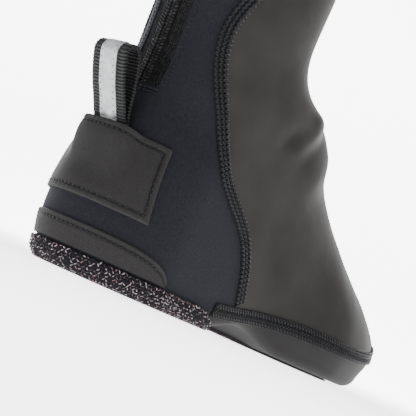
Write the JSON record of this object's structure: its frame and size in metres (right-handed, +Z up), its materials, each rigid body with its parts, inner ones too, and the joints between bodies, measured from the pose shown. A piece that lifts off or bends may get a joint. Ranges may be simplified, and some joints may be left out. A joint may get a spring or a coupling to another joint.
{
  "type": "cycling overshoe",
  "caption": "Right neoprene cycling overshoe with an open heel, a cleat opening in its sole, a pull loop at the heel and a zip up the back.",
  "frame": {"origin": "on the floor under the middle of the bounding box", "axes": "+X to the outer side of the right foot, +Y from heel to toe, +Z up the shaft"},
  "size_m": [0.1066, 0.307, 0.228],
  "materials": {
    "neoprene": "fine matt knit on foam",
    "rubberised": "matt",
    "binding": "looped knit",
    "thread": "glossy overlock thread",
    "webbing": "ribbed webbing",
    "reflective": "glass bead reflective",
    "zip_tape": "woven tape",
    "slider_metal": "satin black"
  },
  "bodies": {
    "boot": {"upper": "neoprene", "sole_panel": "rubberised", "heel_binding": "binding", "cleat_binding": "binding", "heel_counter": "rubberised", "heel_patch": "rubberised", "side_seam_outer": "thread", "side_seam_inner": "thread", "sole_seam": "thread", "front_seam": "thread", "pull_loop": "webbing", "reflective_strip": "reflective", "rear_zip": "zip_tape", "zip_slider": "slider_metal"},
    "pull": {"zip_pull": "slider_metal"}
  },
  "joints": [
    {"name": "zip_pull_hinge", "type": "hinge", "parent": "boot", "child": "pull", "pos_m": [0.00376, -0.14773, 0.2133], "axis": [-1, 0, 0], "range_deg": [-4, 160]}
  ]
}
